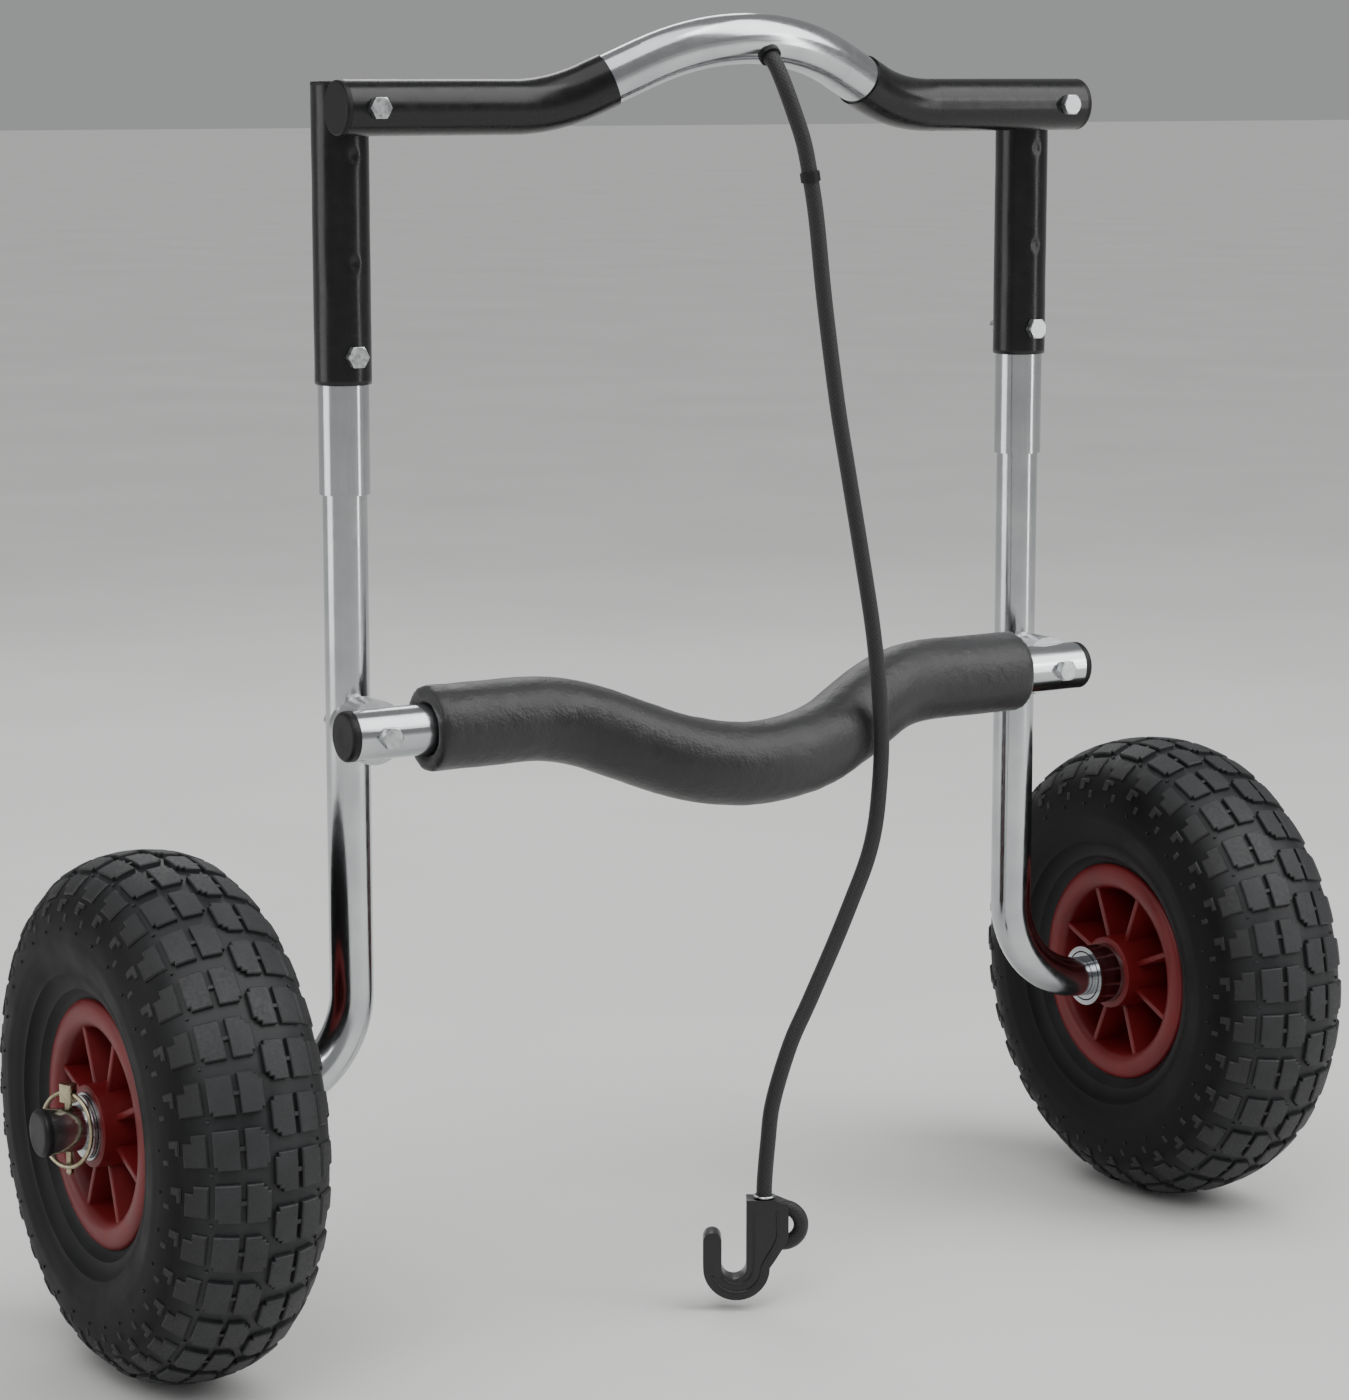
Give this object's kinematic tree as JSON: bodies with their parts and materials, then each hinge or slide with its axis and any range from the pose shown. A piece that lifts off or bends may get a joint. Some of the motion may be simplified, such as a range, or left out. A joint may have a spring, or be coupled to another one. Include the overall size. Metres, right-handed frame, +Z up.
{
  "type": "beach cart",
  "caption": "Two-wheeled beach cart: tube legs in adjustable posts, bowed crossbars with a foam cradle, pneumatic wheels on linch-pinned axles, elastic cord with hook.",
  "frame": {"origin": "on the ground, midway between the wheels, straight below the axles", "axes": "+X along the axles towards the right wheel, -Y towards the front that the crossbars bow to, +Z up"},
  "size_m": [0.743, 0.26, 0.6602],
  "materials": {
    "polished_aluminium": "polished tube with fine drawing lines",
    "cast_saddle": "satin casting",
    "black_cover": "glossy soft vinyl",
    "black_cap": "moulded, satin",
    "foam": "closed-cell foam skin",
    "bolt_steel": "bright zinc plate",
    "hub_steel": "ground steel",
    "tyre_rubber": "satin moulded rubber",
    "tube_rubber": "smooth butyl",
    "red_rim": "glossy moulded",
    "cage_nylon": "natural nylon",
    "yellow_zinc": "yellow passivated zinc on steel wire",
    "cord_black": "braided sleeve",
    "hook_black": "moulded",
    "bright_wire": "bright wire"
  },
  "bodies": {
    "frame": {"left_post": "polished_aluminium", "right_post": "polished_aluminium", "left_post_sleeve": "black_cover", "right_post_sleeve": "black_cover", "left_post_plug": "black_cap", "right_post_plug": "black_cap", "left_leg": "polished_aluminium", "right_leg": "polished_aluminium", "upper_crossbar": "polished_aluminium", "left_bar_sleeve": "black_cover", "right_bar_sleeve": "black_cover", "left_upper_cap": "black_cap", "right_upper_cap": "black_cap", "lower_crossbar": "polished_aluminium", "left_lower_cap": "black_cap", "right_lower_cap": "black_cap", "foam_pad": "foam", "left_saddle": "cast_saddle", "right_saddle": "cast_saddle", "upper_bar_bolts": "bolt_steel", "lower_bar_bolts": "bolt_steel", "leg_bolts": "bolt_steel", "upper_bar_nuts": "bolt_steel", "lower_bar_nuts": "bolt_steel", "leg_nuts": "bolt_steel", "nut_washers": "bolt_steel", "left_axle_cap": "black_cap", "right_axle_cap": "black_cap", "left_stop_ring": "hub_steel", "right_stop_ring": "hub_steel", "left_thrust_washer": "hub_steel", "right_thrust_washer": "hub_steel", "cord_grommet": "black_cap", "cord_knot": "cord_black", "cord": "cord_black", "cord_collar": "black_cap", "cord_clip": "bright_wire", "cord_loop": "cord_black", "hook": "hook_black"},
    "left_wheel": {"left_tyre": "tyre_rubber", "left_inner_tube": "tube_rubber", "left_valve_cap": "black_cap", "left_rim": "red_rim", "left_hub_liner": "hub_steel"},
    "left_roller_set": {"left_roller_cages": "cage_nylon", "left_rollers": "hub_steel"},
    "left_pin": {"left_linch_pin": "yellow_zinc"},
    "left_ring": {"left_linch_ring": "yellow_zinc"},
    "right_wheel": {"right_tyre": "tyre_rubber", "right_inner_tube": "tube_rubber", "right_valve_cap": "black_cap", "right_rim": "red_rim", "right_hub_liner": "hub_steel"},
    "right_roller_set": {"right_roller_cages": "cage_nylon", "right_rollers": "hub_steel"},
    "right_pin": {"right_linch_pin": "yellow_zinc"},
    "right_ring": {"right_linch_ring": "yellow_zinc"}
  },
  "joints": [
    {"name": "left_wheel_spin", "type": "hinge", "parent": "frame", "child": "left_wheel", "pos_m": [-0.308, 0, 0.13], "axis": [1, 0, 0], "continuous": true},
    {"name": "left_roller_roll", "type": "hinge", "parent": "frame", "child": "left_roller_set", "pos_m": [-0.308, 0, 0.13], "axis": [1, 0, 0], "continuous": true},
    {"name": "left_pin_lift", "type": "slide", "parent": "frame", "child": "left_pin", "axis": [0, 0, 1], "range_m": [0, 0.005]},
    {"name": "left_ring_flip", "type": "hinge", "parent": "left_pin", "child": "left_ring", "pos_m": [-0.355, 0, 0.148], "axis": [-0.309, 0.9511, 0], "range_deg": [0, 165]},
    {"name": "right_wheel_spin", "type": "hinge", "parent": "frame", "child": "right_wheel", "pos_m": [0.308, 0, 0.13], "axis": [1, 0, 0], "continuous": true},
    {"name": "right_roller_roll", "type": "hinge", "parent": "frame", "child": "right_roller_set", "pos_m": [0.308, 0, 0.13], "axis": [1, 0, 0], "continuous": true},
    {"name": "right_pin_lift", "type": "slide", "parent": "frame", "child": "right_pin", "axis": [0, 0, 1], "range_m": [0, 0.005]},
    {"name": "right_ring_flip", "type": "hinge", "parent": "right_pin", "child": "right_ring", "pos_m": [0.355, 0, 0.148], "axis": [-0.309, -0.9511, 0], "range_deg": [0, 165]}
  ],
  "couplings": [
    {"joint": "left_roller_roll", "follows": "left_wheel_spin", "ratio": 0.56},
    {"joint": "right_roller_roll", "follows": "right_wheel_spin", "ratio": 0.56}
  ]
}
